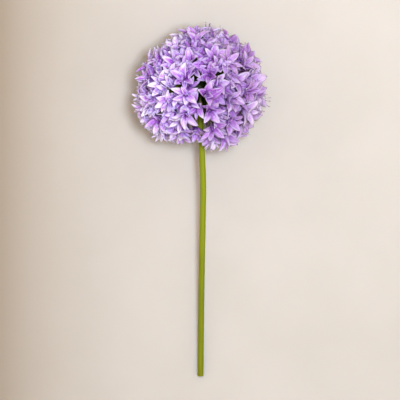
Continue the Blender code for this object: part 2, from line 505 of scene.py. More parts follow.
@dataclass
class Umbel:
    """Where the florets are: by the rule of the solids, with smaller ones in the depth between them.

    Places of the upper side are in millimetres, across and along from the middle of the globe, and a placed
    floret's third number is its turn in degrees.
    """

    centre: Vector = Vector((0, 0, 64.0 * MM))
    reach: float = 59.2 * MM
    reach_scatter: float = 3.5 * MM
    bulge_direction: Vector = Vector((-0.82, -0.55, 0.1)).normalized()
    bulge: float = 0.15
    bulge_narrowness: int = 10
    hollow_direction: Vector = Vector((-0.2, -0.97, 0)).normalized()
    hollow: float = 0.27
    hollow_narrowness: int = 12
    crown_direction: Vector = Vector((-0.17, 0.98, 0)).normalized()
    flatness: float = 0.085
    lattice_count: int = 98
    stem_clear: float = math.radians(23.0)
    opening: Vector = Vector((-3.5, -40.0, 0)) * MM
    opening_radius: float = 18.0 * MM
    opening_depth: float = 15.0 * MM
    spread_steps: int = 80
    spread_strength: float = 0.0011
    spread_range: float = 0.75
    direction_jitter: float = 0.03
    facing_jitter: float = 0.15
    scale_scatter: float = 0.09
    side_growth: float = 0.1
    cup_mean: float = math.radians(48.0)
    cup_scatter: float = math.radians(11.0)
    petal_scatter: float = 0.5
    seed: int = 4022
    placed: Places = (
        (-18.6, 9.0, 37),
        (17.3, 2.3, 0),
        (6.4, -9.4, 24),
        (-14.4, -9.2, 35),
        (28.3, 25.2, 41),
        (7.2, 25.4, 12),
        (-9.6, 29.5, 50),
        (11.6, -26.6, 5),
        (-14.7, -27.6, 28),
        (30.5, -34.9, 17),
        (13.6, -43.0, 33),
        (-41.2, 3.4, 9),
    )
    filler_count: int = 190
    filler_reach: float = 0.95
    filler_reach_scatter: float = 0.05
    filler_scale: float = 0.9
    filler_scatter: tuple[float, float] = (0.9, 1.05)
    filler_jitter: float = 0.3
    filler_growth: float = 0.15
    side_crowding: float = 0.33
    filler_seed: int = 7
    crossing_places: Places = ((-5.0, -50.0),)
    under_places: Places = ((-8.0, -47.0), (3.0, -33.0))
    open_places: Places = ((-2.8, 6.8), (8.5, -1.7))
    open_angle: float = math.radians(12.5)
    probe_count: int = 2500

    def upper_directions(self, places: Places) -> list[Vector]:
        """The directions to places of the upper side."""
        plans = [Vector((*place[:2], 0)) * MM for place in places]
        return [(plan - DOWN * math.sqrt(self.reach**2 - plan.length**2)).normalized() for plan in plans]

    def reach_towards(self, direction: Vector) -> float:
        """Finds how far the hubs of the florets are from the middle of the globe.

        Args:
            direction: The direction from the middle.

        Returns:
            The distance.
        """
        bulge = self.bulge * max(0.0, direction.dot(self.bulge_direction)) ** self.bulge_narrowness
        hollow = self.hollow * max(0.0, direction.dot(self.hollow_direction)) ** self.hollow_narrowness
        flat = self.flatness * max(0.0, direction.dot(self.crown_direction))
        return self.reach * (1 + bulge - hollow - flat)

    def may_grow(self, direction: Vector, stem: Vector) -> bool:
        """Whether a floret grows in a direction.

        Args:
            direction: The direction from the middle of the globe.
            stem: The stem's direction.

        Returns:
            True where it is clear of the stem, and neither above nor below the opening beside it.
        """
        hub = direction * self.reach_towards(direction)
        is_beside = (Vector((hub.x, hub.y, 0)) - self.opening).length > self.opening_radius
        return direction.angle(stem) > self.stem_clear and (is_beside or abs(hub.z) < self.opening_depth)

    def cups(self, rng: random.Random) -> tuple[float, ...]:
        """Draws how far each petal of a floret is lifted, which is much the same for all six.

        Args:
            rng: The source of the draws.

        Returns:
            The angles.
        """
        cup = self.cup_mean + swing(rng, self.cup_scatter)
        own = self.petal_scatter
        return tuple(cup + rng.uniform(-own, own) * self.cup_scatter for _ in range(PETALS_PER_FLORET))

    def directions(self, rng: random.Random, stem: Vector) -> list[Vector]:
        """The directions of the solids' florets.

        Args:
            rng: The source of the jitter.
            stem: The stem's direction, which the florets keep clear of.

        Returns:
            The floret underneath, the listed ones, and the rest.
        """
        placed = [DOWN] + self.upper_directions(self.placed)
        free = lattice(self.lattice_count)
        for fixed in placed:
            free.remove(min(free, key=fixed.angle))
        free = [spot for spot in free if self.may_grow(spot, stem)]
        for _ in range(self.spread_steps):
            moved = []
            for spot in free:
                gaps = [spot - other for other in placed + free]
                near = [gap for gap in gaps if 0 < gap.length < self.spread_range]
                push = sum((gap / gap.length**3 for gap in near), Vector())
                target = (spot + push * self.spread_strength).normalized()
                moved.append(target if self.may_grow(target, stem) else spot)
            free = moved
        return placed + [(spot + scatter(rng, self.direction_jitter)).normalized() for spot in free]

    def florets(self, stem: Vector) -> list[Floret]:
        """The solids' florets.

        Args:
            stem: The stem's direction from the middle of the globe.

        Returns:
            The florets, the one underneath first.
        """
        rng = random.Random(self.seed)
        tints = random.Random(self.filler_seed)
        florets = []
        for number, direction in enumerate(self.directions(rng, stem)):
            reach = self.reach_towards(direction) + swing(rng, self.reach_scatter)
            facing = (direction + scatter(rng, self.facing_jitter)).normalized()
            turn = rng.uniform(0, 360)
            scale = 1 + self.side_growth * direction.x + swing(rng, self.scale_scatter)
            cups = self.cups(rng)
            if number == 0:
                reach = self.centre.z
                facing = direction
                cups = (0.0,) * PETALS_PER_FLORET
            elif number <= len(self.placed):
                turn = self.placed[number - 1][2]
            hub = self.centre + direction * reach
            tint = tints.uniform(0, 1)
            florets.append(Floret(direction, hub, facing, math.radians(turn), scale, cups, tint))
        return florets

    def filler_directions(self, stem: Vector, taken: list[Vector]) -> list[Vector]:
        """The directions of the fillers.

        Args:
            stem: The stem's direction from the middle of the globe.
            taken: The directions of the florets that are there.

        Returns:
            Those that cross above the stem, then each in the widest gap that is left, then those that close
            the opening from below.
        """
        openings = self.upper_directions(self.open_places)
        probes = [
            probe
            for probe in lattice(self.probe_count)
            if self.may_grow(probe, stem) and min(probe.angle(o) for o in openings) > self.open_angle
        ]
        weights = [1 - self.side_crowding * probe.x for probe in probes]
        clear = [min(probe.angle(other) for other in taken) for probe in probes]
        chosen = self.upper_directions(self.crossing_places)
        for number in range(self.filler_count):
            if number >= len(self.crossing_places):
                best = max(range(len(probes)), key=lambda i: clear[i] * weights[i])
                chosen.append(probes[best])
            clear = [min(gap, chosen[number].angle(probe)) for gap, probe in zip(clear, probes)]
        return chosen + [above * Vector((1, 1, -1)) for above in self.upper_directions(self.under_places)]

    def fillers(self, stem: Vector, florets: list[Floret]) -> list[Floret]:
        """Smaller florets deeper in the head, in the gaps between the others.

        Args:
            stem: The stem's direction from the middle of the globe.
            florets: The florets that are there.

        Returns:
            The fillers.
        """
        rng = random.Random(self.filler_seed + 1)
        fillers = []
        for direction in self.filler_directions(stem, [floret.direction for floret in florets]):
            depth = self.filler_reach + rng.uniform(-self.filler_reach_scatter, self.filler_reach_scatter)
            hub = self.centre + direction * (self.reach_towards(direction) * depth)
            facing = (direction + scatter(rng, self.filler_jitter)).normalized()
            scale = self.filler_scale * rng.uniform(*self.filler_scatter)
            scale *= 1 + self.filler_growth * direction.x
            cups = self.cups(rng)
            turn = rng.uniform(0, math.tau)
            fillers.append(Floret(direction, hub, facing, turn, scale, cups, rng.random()))
        return fillers


@dataclass
class Effects:
    """Shader node groups that more than one finish uses."""

    streak_seeding: float = 37.0
    streak_roughness: float = 0.55
    hue_swing: float = 0.03

    def __post_init__(self) -> None:
        """Builds the groups."""
        self.streaks = self.build_streaks()
        self.drift = self.build_drift()

    def build_streaks(self) -> NodeTree:
        """Builds fine lengthwise streaks, as of veins or fibres.

        Returns:
            The group.
        """
        inputs = dict.fromkeys(("Along", "Across", "Seed", "Length", "Count"), "Float")
        group = Group("ShaderNodeTree", "lengthwise streaks", ("Mask", "Float"), inputs)
        entry = group.entry
        place = group.joined(
            group.times(entry["Along"], entry["Length"]),
            group.times(entry["Across"], entry["Count"]),
            group.times(entry["Seed"], self.streak_seeding),
        )
        inputs = {"Vector": place, "Scale": 1.0, "Detail": 2.0, "Roughness": self.streak_roughness}
        return group.end(group.spread(group.first("ShaderNodeTexNoise", inputs), 0.3, 0.7))

    def build_drift(self) -> NodeTree:
        """Builds a slow change of hue, saturation and brightness, so that no two places look the same.

        Returns:
            The group.
        """
        inputs = {"Colour": "Color", "Vector": "Vector"}
        inputs |= dict.fromkeys(("Scale", "Tint", "Amount"), "Float")
        group = Group("ShaderNodeTree", "colour drift", ("Colour", "Color"), inputs)
        entry = group.entry
        inputs = {"Vector": entry["Vector"], "Scale": entry["Scale"], "Detail": 2.0}
        noise = group.first("ShaderNodeTexNoise", inputs)
        both = group.plus(group.minus(noise, 0.5), group.minus(entry["Tint"], 0.5))
        change = group.times(both, entry["Amount"])
        inputs = {
            "Hue": group.plus(group.times(change, self.hue_swing), 0.5),
            "Saturation": group.minus(1.0, change),
            "Value": group.plus(change, 1.0),
            "Color": entry["Colour"],
        }
        return group.end(group.first("ShaderNodeHueSaturation", inputs))


class Dressing(Graph):
    """A material under construction: its tree, its shader and the shared effects."""

    def __init__(self, name: str, effects: Effects) -> None:
        """Starts the material with its Principled shader.

        Args:
            name: The material's name.
            effects: The shared effects.
        """
        self.material = bpy.data.materials.new(name)
        self.material.use_nodes = True
        super().__init__(self.material.node_tree)
        self.shader = self.tree.nodes["Principled BSDF"]
        self.effects = effects
        self.place = self.add("ShaderNodeTexCoord").outputs["Object"]

    def read(self, name: str) -> NodeSocket:
        """A value that the piece carries on its points."""
        return self.add("ShaderNodeAttribute", attribute_name=name).outputs["Fac"]

    def noise(self, scale: float, detail: float = 2.0) -> NodeSocket:
        """Cloudy noise through the piece, from 0 to 1."""
        return self.first("ShaderNodeTexNoise", {"Vector": self.place, "Scale": scale, "Detail": detail})

    def effect(self, group: NodeTree, **inputs: object) -> NodeSocket:
        """Places a shared effect with its own values."""
        return self.first("ShaderNodeGroup", inputs, node_tree=group)

    def streaks(self, along: NodeSocket, across: NodeSocket, length: float, count: float) -> NodeSocket:
        """The shared streaks, so many side by side, which change so many times along their length."""
        inputs = {"Along": along, "Across": across, "Length": length, "Count": count}
        return self.effect(self.effects.streaks, Seed=self.read("tint"), **inputs)

    def drifted(self, colour: NodeSocket, scale: float, amount: float = 0.2) -> NodeSocket:
        """A colour with the shared drift, which differs from floret to floret."""
        inputs = {"Colour": colour, "Vector": self.place, "Scale": scale, "Amount": amount}
        return self.effect(self.effects.drift, Tint=self.read("tint"), **inputs)

    def ramp(self, share: NodeSocket, *stops: tuple[float, Colour]) -> NodeSocket:
        """Lays a colour that changes along a share.

        Args:
            share: The share, from 0 to 1.
            stops: The colours, each with the share where it is pure.

        Returns:
            The colour.
        """
        node = self.add("ShaderNodeValToRGB", {"Fac": share})
        elements = node.color_ramp.elements
        while len(elements) < len(stops):
            elements.new(0.5)
        for element, (position, colour) in zip(elements, stops):
            element.position = position
            element.color = colour
        return node.outputs[0]

    def bumped(self, height: NodeSocket, strength: float, distance: float) -> NodeSocket:
        """A normal from a height."""
        return self.first("ShaderNodeBump", {"Height": height, "Strength": strength, "Distance": distance})

    def wear(self, **sockets: object) -> Material:
        """Feeds the shader.

        Args:
            sockets: What feeds each of its inputs, by name with _ for a space.

        Returns:
            The finished material.
        """
        for key, value in sockets.items():
            self.feed(self.shader.inputs[key.replace("_", " ")], value)
        return self.material


@dataclass(frozen=True)
class TepalFinish:
    """Violet at the base and the midrib, paler to the tip, with fine veins; painted shade makes it deeper
    violet deep in the globe and duller to the right, and painted light makes it paler to the left and at
    the foot.
    """

    centre: Vector
    throat: Colour = screen_colour(152, 72, 194)
    body: Colour = screen_colour(192, 142, 231)
    light: Colour = screen_colour(203, 180, 247)
    tip: Colour = screen_colour(221, 214, 254)
    stops: tuple[float, ...] = (0.04, 0.35, 0.72, 1.0)
    along_paling: float = 0.85
    margin_paling: float = 0.15
    margin_sharpness: float = 4.0
    # Painted light: tepals are paler towards the left of the head.
    painted_left_light: float = 0.17
    # Painted light: tepals are paler towards the foot of the head, on the stem's side.
    painted_foot_light: float = 0.07
    foot_reach: float = 60.0 * MM
    vein_paling: float = 0.4
    band_paling: float = 1.05
    floret_paling: float = 0.55
    dapple_paling: float = 1.5
    dapple_scale: float = 170.0
    rib: Colour = screen_colour(160, 98, 198)
    rib_width: float = 0.35
    rib_share: float = 0.75
    rib_run: tuple[float, float] = (0.2, 0.8)
    # Painted shade: tepals turn to this duller, darker lilac towards the right of the head.
    painted_right_shade: Colour = screen_colour(142, 114, 154)
    painted_right_shade_share: float = 0.56
    side_reach: float = 40.0 * MM
    # Painted shade: tepals deep in the globe blend to this darker violet, where shade falls between the
    # florets.
    inner: Colour = screen_colour(124, 44, 172)
    painted_depth_shade_share: float = 0.9
    painted_depth_shade_start: float = 44.0 * MM
    painted_depth_shade_end: float = 68.0 * MM
    roughness: tuple[float, float] = (0.49, 0.63)
    glow: float = 0.4
    glow_colour: tuple[float, float, float] = (1.0, 0.85, 1.0)
    glow_depth: float = 1.2 * MM

    def build(self, effects: Effects) -> Material:
        """Builds the material.

        Args:
            effects: The shared effects.

        Returns:
            The material.
        """
        look = Dressing("tepal", effects)
        along, across, _ = look.parts(look.first("ShaderNodeUVMap", uv_map="UVMap"))
        side, crownward, _ = look.parts(look.place)
        off_rib = look.math("ABSOLUTE", look.minus(look.times(across, 2.0), 1.0))
        veins = look.streaks(along, across, length=1.6, count=15.0)
        bands = look.streaks(along, across, length=1.2, count=6.0)
        paling = look.plus(
            look.times(along, self.along_paling),
            look.times(look.math("POWER", off_rib, self.margin_sharpness), self.margin_paling),
            # Painted light: paler towards the left of the head.
            look.spread(side, -self.side_reach, self.side_reach, self.painted_left_light, 0.0),
            # Painted light: paler towards the foot of the head.
            look.spread(crownward, -self.foot_reach, 0.0, self.painted_foot_light, 0.0),
            look.sway(veins, self.vein_paling),
            look.sway(bands, self.band_paling),
            look.sway(look.read("tint"), self.floret_paling),
            look.sway(look.noise(self.dapple_scale), self.dapple_paling),
        )
        colour = look.ramp(paling, *zip(self.stops, (self.throat, self.body, self.light, self.tip)))
        on_rib = look.spread(off_rib, 0.0, self.rib_width, 1.0, 0.0)
        fading = look.spread(along, *self.rib_run, self.rib_share, 0.0)
        colour = look.blend(look.times(on_rib, fading), colour, self.rib)
        # Painted shade: duller and darker towards the right of the head.
        painted_right_shade_mask = look.spread(side, -self.side_reach, self.side_reach, 0.0, self.painted_right_shade_share)
        colour = look.blend(painted_right_shade_mask, colour, self.painted_right_shade)
        # Painted shade: the colour turns darker violet the deeper a point lies in the globe.
        ends = {0: look.place, 1: self.centre}
        radius = look.add("ShaderNodeVectorMath", ends, operation="DISTANCE").outputs["Value"]
        depth = look.spread(radius, self.painted_depth_shade_start, self.painted_depth_shade_end, self.painted_depth_shade_share, 0.0)
        colour = look.blend(depth, colour, self.inner)
        relief = look.minus(look.times(veins, 0.5), on_rib)
        return look.wear(
            Base_Color=look.drifted(colour, scale=28.0, amount=0.22),
            Roughness=look.spread(veins, 0.0, 1.0, *self.roughness),
            Normal=look.bumped(relief, strength=0.35, distance=0.3 * MM),
            Subsurface_Weight=self.glow,
            Subsurface_Radius=self.glow_colour,
            Subsurface_Scale=self.glow_depth,
        )


@dataclass(frozen=True)
class StamenFinish:
    """Slim filaments, violet at the root and darker to the end."""

    root: Colour = screen_colour(162, 92, 208)
    end: Colour = screen_colour(92, 56, 108)
    roughness: float = 0.5

    def build(self, effects: Effects) -> Material:
        """Builds the material.

        Args:
            effects: The shared effects.

        Returns:
            The material.
        """
        look = Dressing("filament", effects)
        colour = look.ramp(look.read("along"), (0.05, self.root), (0.9, self.end))
        return look.wear(Base_Color=look.drifted(colour, scale=60.0), Roughness=self.roughness)


@dataclass(frozen=True)
class AntherFinish:
    """Dusty, grainy violet pollen sacs."""

    dark: Colour = screen_colour(104, 54, 140)
    dusty: Colour = screen_colour(172, 126, 186)
    roughness: tuple[float, float] = (0.75, 0.95)

    def build(self, effects: Effects) -> Material:
        """Builds the material.

        Args:
            effects: The shared effects.

        Returns:
            The material.
        """
        look = Dressing("anther", effects)
        grain = look.noise(scale=2600.0, detail=3.0)
        colour = look.blend(look.spread(grain, 0.35, 0.7), self.dark, self.dusty)
        return look.wear(
            Base_Color=look.drifted(colour, scale=40.0),
            Roughness=look.spread(grain, 0.3, 0.7, *self.roughness),
            Normal=look.bumped(grain, strength=0.4, distance=0.1 * MM),
        )


@dataclass(frozen=True)
class PistilFinish:
    """A waxy green ovary with violet shoulders, under a lilac style."""

    low: Colour = screen_colour(96, 104, 62)
    shoulder: Colour = screen_colour(118, 60, 158)
    style: Colour = screen_colour(182, 122, 222)
    stops: tuple[float, ...] = (0.1, 0.34, 0.55)
    spotting: float = 0.3
    roughness: tuple[float, float] = (0.35, 0.5)

    def build(self, effects: Effects) -> Material:
        """Builds the material.

        Args:
            effects: The shared effects.

        Returns:
            The material.
        """
        look = Dressing("pistil", effects)
        spots = look.noise(scale=900.0)
        level = look.plus(look.read("along"), look.sway(spots, self.spotting))
        colour = look.ramp(level, *zip(self.stops, (self.low, self.shoulder, self.style)))
        return look.wear(
            Base_Color=look.drifted(colour, scale=30.0),
            Roughness=look.spread(spots, 0.3, 0.7, *self.roughness),
        )


@dataclass(frozen=True)
class GreenFinish:
    """Waxy green with lengthwise streaks and another shade at the far end; towards the root its colour is
    painted shade on the stalks and painted light on the stem.
    """

    name: str = "stalk green"
    deep: Colour = screen_colour(84, 96, 2)
    fresh: Colour = screen_colour(122, 132, 4)
    # Painted light and shade at the root: by default the stalks darken to this near-black green deep in the
    # head; the stem's lighter root colour is painted light where the florets shade it.
    root: Colour = screen_colour(34, 50, 12)
    painted_root_share: float = 0.95
    painted_root_run: tuple[float, float] = (0.3, 0.7)
    far: Colour = screen_colour(128, 84, 152)
    far_share: float = 0.8
    far_run: tuple[float, float] = (0.75, 1.0)
    streak_length: float = 3.0
    streak_count: float = 9.0
    roughness: tuple[float, float] = (0.5, 0.37)
    shine: float = 0.18
    bump: float = 0.25

    def build(self, effects: Effects) -> Material:
        """Builds the material.

        Args:
            effects: The shared effects.

        Returns:
            The material.
        """
        look = Dressing(self.name, effects)
        along = look.read("along")
        streaks = look.streaks(along, look.read("round"), self.streak_length, self.streak_count)
        colour = look.blend(streaks, self.deep, self.fresh)
        # Painted light and shade: the root colour, towards the root.
        colour = look.blend(look.spread(along, *self.painted_root_run, self.painted_root_share, 0.0), colour, self.root)
        colour = look.blend(look.spread(along, *self.far_run, 0.0, self.far_share), colour, self.far)
        return look.wear(
            Base_Color=look.drifted(colour, scale=22.0),
            Roughness=look.spread(streaks, 0.0, 1.0, *self.roughness),
            Normal=look.bumped(streaks, self.bump, distance=0.2 * MM),
            Specular_IOR_Level=self.shine,
        )


@dataclass(frozen=True)
class PithFinish:
    """The moist, pale, porous face where the stem was cut."""

    core: Colour = screen_colour(208, 212, 160)
    rim: Colour = screen_colour(140, 150, 50)
    cell_scale: float = 1800.0
    roughness: float = 0.5

    def build(self, effects: Effects) -> Material:
        """Builds the material.

        Args:
            effects: The shared effects.

        Returns:
            The material.
        """
        look = Dressing("pith", effects)
        cells = look.first("ShaderNodeTexVoronoi", {"Vector": look.place, "Scale": self.cell_scale})
        return look.wear(
            Base_Color=look.blend(look.spread(cells, 0.2, 0.6), self.core, self.rim),
            Roughness=self.roughness,
            Normal=look.bumped(cells, strength=0.5, distance=0.15 * MM),
        )


@dataclass(frozen=True)
class PlasterFinish:
    """The pale plaster that the bloom lies on: faintly mottled, with painted shade to the left and at the
    foot, and painted light a little brighter at the top.

    A little light sinks in and comes out warmer, which softens and warms the rims of the shadows.
    """

    light: Colour = screen_colour(178, 175, 172)
    shade: Colour = screen_colour(174, 171, 167)
    # Painted shade: the plaster darkens to this colour towards the left edge.
    edge: Colour = screen_colour(136, 125, 112)
    left_end: float = -226.0 * MM
    painted_shade_length: float = 79.0 * MM
    foot_end: float = -342.0 * MM
    top_end: float = 99.0 * MM
    # Painted shade and light: weaker left shade at the foot, darker at the foot and a little brighter at
    # the top.
    painted_shade_foot_share: float = 0.9
    painted_foot_shade_value: float = 0.93
    painted_top_light_value: float = 1.04
    roughness: float = 0.85
    bleed: tuple[float, float, float] = (1.0, 0.5, 0.22)
    bleed_depth: float = 11.0 * MM

    def build(self, effects: Effects) -> Material:
        """Builds the material.

        Args:
            effects: The shared effects.

        Returns:
            The material.
        """
        look = Dressing("plaster", effects)
        look.shader.subsurface_method = "BURLEY"
        mottling = look.noise(scale=9.0, detail=4.0)
        colour = look.blend(look.spread(mottling, 0.35, 0.65), self.light, self.shade)
        across, along, _ = look.parts(look.place)
        # Painted shade: darker towards the left edge, a little less so at the foot.
        inward = look.math("MAXIMUM", look.minus(across, self.left_end), 0.0)
        painted_left_shade = look.math("EXPONENT", look.math("DIVIDE", inward, -self.painted_shade_length))
        strength = look.spread(along, self.foot_end, self.top_end, self.painted_shade_foot_share)
        colour = look.blend(look.times(painted_left_shade, strength), colour, self.edge)
        # Painted shade and light: darker at the foot, brighter at the top.
        value = look.spread(along, self.foot_end, self.top_end, self.painted_foot_shade_value, self.painted_top_light_value)
        grain = look.noise(scale=160.0, detail=3.0)
        return look.wear(
            Base_Color=look.first("ShaderNodeHueSaturation", {"Value": value, "Color": colour}),
            Roughness=self.roughness,
            Normal=look.bumped(grain, strength=0.15, distance=0.3 * MM),
            Subsurface_Weight=1.0,
            Subsurface_Radius=self.bleed,
            Subsurface_Scale=self.bleed_depth,
        )


@dataclass
class Tepals:
    """One whorl of tepals on every floret: closed, channelled leaves that arch outwards."""

    whorl: Whorl
    florets: list[Floret]
    finish: Material
    length: float = 20.0 * MM
    width: float = 10.2 * MM
    widest: float = 0.42
    root_widening: float = 0.07
    root_fullness: float = 0.85
    thickness: float = 0.42 * MM
    rim_rise: float = 8.0
    root_radius: float = 1.4 * MM
    root_lift: float = 0.35 * MM
    flattening: float = math.radians(4.0)
    opening_scatter: float = math.radians(13.0)
    cup_scatter: float = math.radians(15.0)
    angle_scatter: float = 0.16
    roll: float = math.radians(28.0)
    arch: float = math.radians(36.0)
    arch_scatter: float = math.radians(26.0)
    channel: float = 0.36
    channel_scatter: tuple[float, float] = (0.6, 2.2)
    channel_sharpness: float = 1.2
    twist: float = math.radians(13.0)
    lean: float = 0.07
    ruffle: float = 0.11
    ruffle_waves: float = 6.0
    scale_scatter: tuple[float, float] = (0.88, 1.08)
    slimness: tuple[float, float] = (0.66, 1.05)
    side_width: float = 0.14
    own_tint: float = 0.3
    long_faces: int = 7
    wide_faces: int = 4
    tip_crowding: float = 0.9
    variant_count: int = 8
    spot_seed: int = 3
    opening_seed: int = 5
    variant_seed: int = 11

    def swell(self, along: float) -> float:
        """The outline of a tepal: narrow at the root, widest near the middle, with a sharp tip."""
        return (along + self.root_widening) ** self.root_fullness * (1 - along)

    def variant(self, name: str, rng: random.Random) -> Object:
        """Makes one tepal of the standard length, its root at the origin and its base along +X.

        Args:
            name: The variant's name.
            rng: The source of its own arch, twist and ruffle.

        Returns:
            The tepal, closed.
        """
        arch = self.arch + swing(rng, self.arch_scatter)
        twist = swing(rng, self.twist)
        lean = swing(rng, self.lean)
        channel = self.channel * rng.uniform(*self.channel_scatter)
        wave = rng.uniform(0, math.tau)
        bm = bmesh.new()
        bm.loops.layers.uv.new("UVMap")
        faces = {"x_segments": self.long_faces, "y_segments": self.wide_faces}
        bmesh.ops.create_grid(bm, size=0.5, calc_uvs=True, **faces)
        copy = bmesh.ops.duplicate(bm, geom=bm.verts[:] + bm.edges[:] + bm.faces[:])["geom"]
        back = {item for item in copy if isinstance(item, bmesh.types.BMVert)}
        bmesh.ops.reverse_faces(bm, faces=[item for item in copy if isinstance(item, bmesh.types.BMFace)])
        for vert in bm.verts:
            along = min(1.0, max(0.0, vert.co.x + 0.5)) ** self.tip_crowding
            across = vert.co.y * 2
            half = self.width / 2 * self.swell(along) / self.swell(self.widest)
            bend = arch * along
            spine = Vector((math.sin(bend), 0, math.cos(bend) - 1)) * self.length / arch
            spine.y = lean * self.length * along**2
            normal = Vector((math.sin(bend), 0, math.cos(bend)))
            lift = channel * half * abs(across) ** self.channel_sharpness
            lift += self.ruffle * half * across * math.sin(self.ruffle_waves * along + wave)
            turn = twist * along
            side = Vector((0, math.cos(turn), 0)) + normal * math.sin(turn)
            up = normal * math.cos(turn) - Vector((0, math.sin(turn), 0))
            rim = min(1.0, self.rim_rise * along) * (1 - along) ** 0.5 * (1 - across**2)
            under = self.thickness * rim if vert in back else 0.0
            vert.co = spine + side * (across * half) + up * (lift - under)
        bmesh.ops.remove_doubles(bm, verts=bm.verts, dist=0.000001)
        mesh = bpy.data.meshes.new(name)
        bm.to_mesh(mesh)
        bm.free()
        return bpy.data.objects.new(name, mesh)

    def spots(self) -> list[Spot]:
        """Finds where each tepal goes. A floret opens as much in both whorls, which share that seed.

        Returns:
            The spots of the whorl.
        """
        rng = random.Random(self.whorl.value + self.spot_seed)
        openings = random.Random(self.opening_seed)
        spots = []
        for floret in self.florets:
            opening = swing(openings, self.opening_scatter)
            for number in range(self.whorl.value, PETALS_PER_FLORET, 2):
                angle = math.tau * number / PETALS_PER_FLORET
                angle += rng.uniform(-self.angle_scatter, self.angle_scatter)
                lift = floret.cups[number] - self.flattening + opening + self.arch / 4
                lift += swing(rng, self.cup_scatter)
                inset = self.root_lift * self.whorl.value
                root = floret.hub + floret.spoke(angle) * (self.root_radius - inset) + floret.facing * inset
                scale = floret.scale * rng.uniform(*self.scale_scatter)
                slimness = rng.uniform(*self.slimness) + self.side_width * floret.direction.x
                tint = floret.tint * (1 - self.own_tint) + rng.uniform(0, self.own_tint)
                turned = floret.turned(angle, lift) @ Quaternion((1, 0, 0), swing(rng, self.roll))
                size = Vector((scale, scale * slimness, scale))
                spots.append(Spot(root, turned, size, rng.randrange(self.variant_count), tint))
        return spots

    def build(self) -> Object:
        """Grows the whorl on all the florets.

        Returns:
            The piece.
        """
        name = f"tepals_{self.whorl.name.lower()}"
        rng = random.Random(self.whorl.value + self.variant_seed)
        variants = bpy.data.collections.new(name + " variants")
        bpy.context.scene.collection.children.link(variants)
        for number in range(self.variant_count):
            variants.objects.link(self.variant(f"{name}_{number:02}", rng))
        growth = Growth(name, Variants="Collection")
        inputs = {"Collection": growth.entry["Variants"], "Separate Children": True, "Reset Children": True}
        picked = growth.first("GeometryNodeCollectionInfo", inputs)
        growth.close(growth.on_spots(picked, pick=True))
        piece = growth.grow(growth.host(self.spots()), self.finish, Variants=variants)
        for variant in list(variants.objects):
            bpy.data.objects.remove(variant)
        bpy.data.collections.remove(variants)
        return piece


@dataclass
class Stamens:
    """Six slim filaments in every floret, each with its anther."""

    florets: list[Floret]
    filament_finish: Material
    anther_finish: Material
    length: float = 8.5 * MM
    spread: float = 4.0 * MM
    radius: float = 0.14 * MM
    taper: tuple[float, float] = (1.3, 0.7)
    steps: int = 5
    sides: int = 4
    root_radius: float = 0.9 * MM
    root_height: float = 0.3 * MM
    upright: float = 0.6
    angle_scatter: float = 0.25
    scale_scatter: tuple[float, float] = (0.8, 1.15)
    spread_scatter: tuple[float, float] = (0.6, 1.4)
    anther_size: float = 0.28 * MM
    anther_shape: tuple[float, float, float] = (0.75, 1.6, 0.7)
    anther_faces: tuple[int, int] = (6, 5)
    long_sides: tuple[Vector, ...] = (Vector((0.94, -0.3, 0.1)), Vector((0.25, 0.97, 0.1)))
    long_angle: float = math.radians(17.0)
    long_reach: float = 2.1
    long_spread: float = 0.5
    seed: int = 21

    def spots(self) -> list[Spot]:
        """Finds where each stamen goes: +X outwards and +Z the way the floret faces.

        Returns:
            The spots.
        """
        rng = random.Random(self.seed)
        spots = []
        for floret in self.florets:
            is_long = min(floret.direction.angle(side) for side in self.long_sides) < self.long_angle
            reach, spread = (self.long_reach, self.long_spread) if is_long else (1.0, 1.0)
            place = floret.hub + floret.facing * self.root_height
            for number in range(PETALS_PER_FLORET):
                angle = math.tau * (number + 0.5) / PETALS_PER_FLORET
                angle += rng.uniform(-self.angle_scatter, self.angle_scatter)
                scale = floret.scale * rng.uniform(*self.scale_scatter) * reach
                size = Vector((scale * spread * rng.uniform(*self.spread_scatter), scale, scale))
                spots.append(Spot(place, floret.turned(angle), size, 0, rng.random()))
        return spots

    def tip(self) -> Vector:
        """The end of a filament in its own frame."""
        return Vector((self.spread, 0, self.length))

    def build_filaments(self) -> Object:
        """Grows the filaments.

        Returns:
            The piece.
        """
        growth = Growth("filaments", Start="Vector", Middle="Vector", End="Vector", Radius="Float")
        inputs = {key: growth.entry[key] for key in ("Start", "Middle", "End")} | {"Resolution": self.steps}
        arc = growth.first("GeometryNodeCurveQuadraticBezier", inputs)
        taper = growth.times(growth.spread(growth.share(), 0.0, 1.0, *self.taper), growth.entry["Radius"])
        growth.close(growth.on_spots(growth.tube(arc, growth.ring(self.sides), taper)))
        return growth.grow(
            growth.host(self.spots()),
            self.filament_finish,
            Start=Vector((self.root_radius, 0, 0)),
            Middle=Vector((self.root_radius, 0, self.length * self.upright)),
            End=self.tip(),
            Radius=self.radius,
        )

    def build_anthers(self) -> Object:
        """Grows the anthers on the ends of the filaments.

        Returns:
            The piece.
        """
        growth = Growth("anthers", Tip="Vector", Size="Float")
        segments, rings = self.anther_faces
        inputs = {"Segments": segments, "Rings": rings, "Radius": growth.entry["Size"]}
        ball = growth.first("GeometryNodeMeshUVSphere", inputs)
        shape = {"Geometry": ball, "Translation": growth.entry["Tip"], "Scale": self.anther_shape}
        growth.close(growth.on_spots(growth.first("GeometryNodeTransform", shape)))
        return growth.grow(
            growth.host(self.spots()), self.anther_finish, Tip=self.tip(), Size=self.anther_size
        )


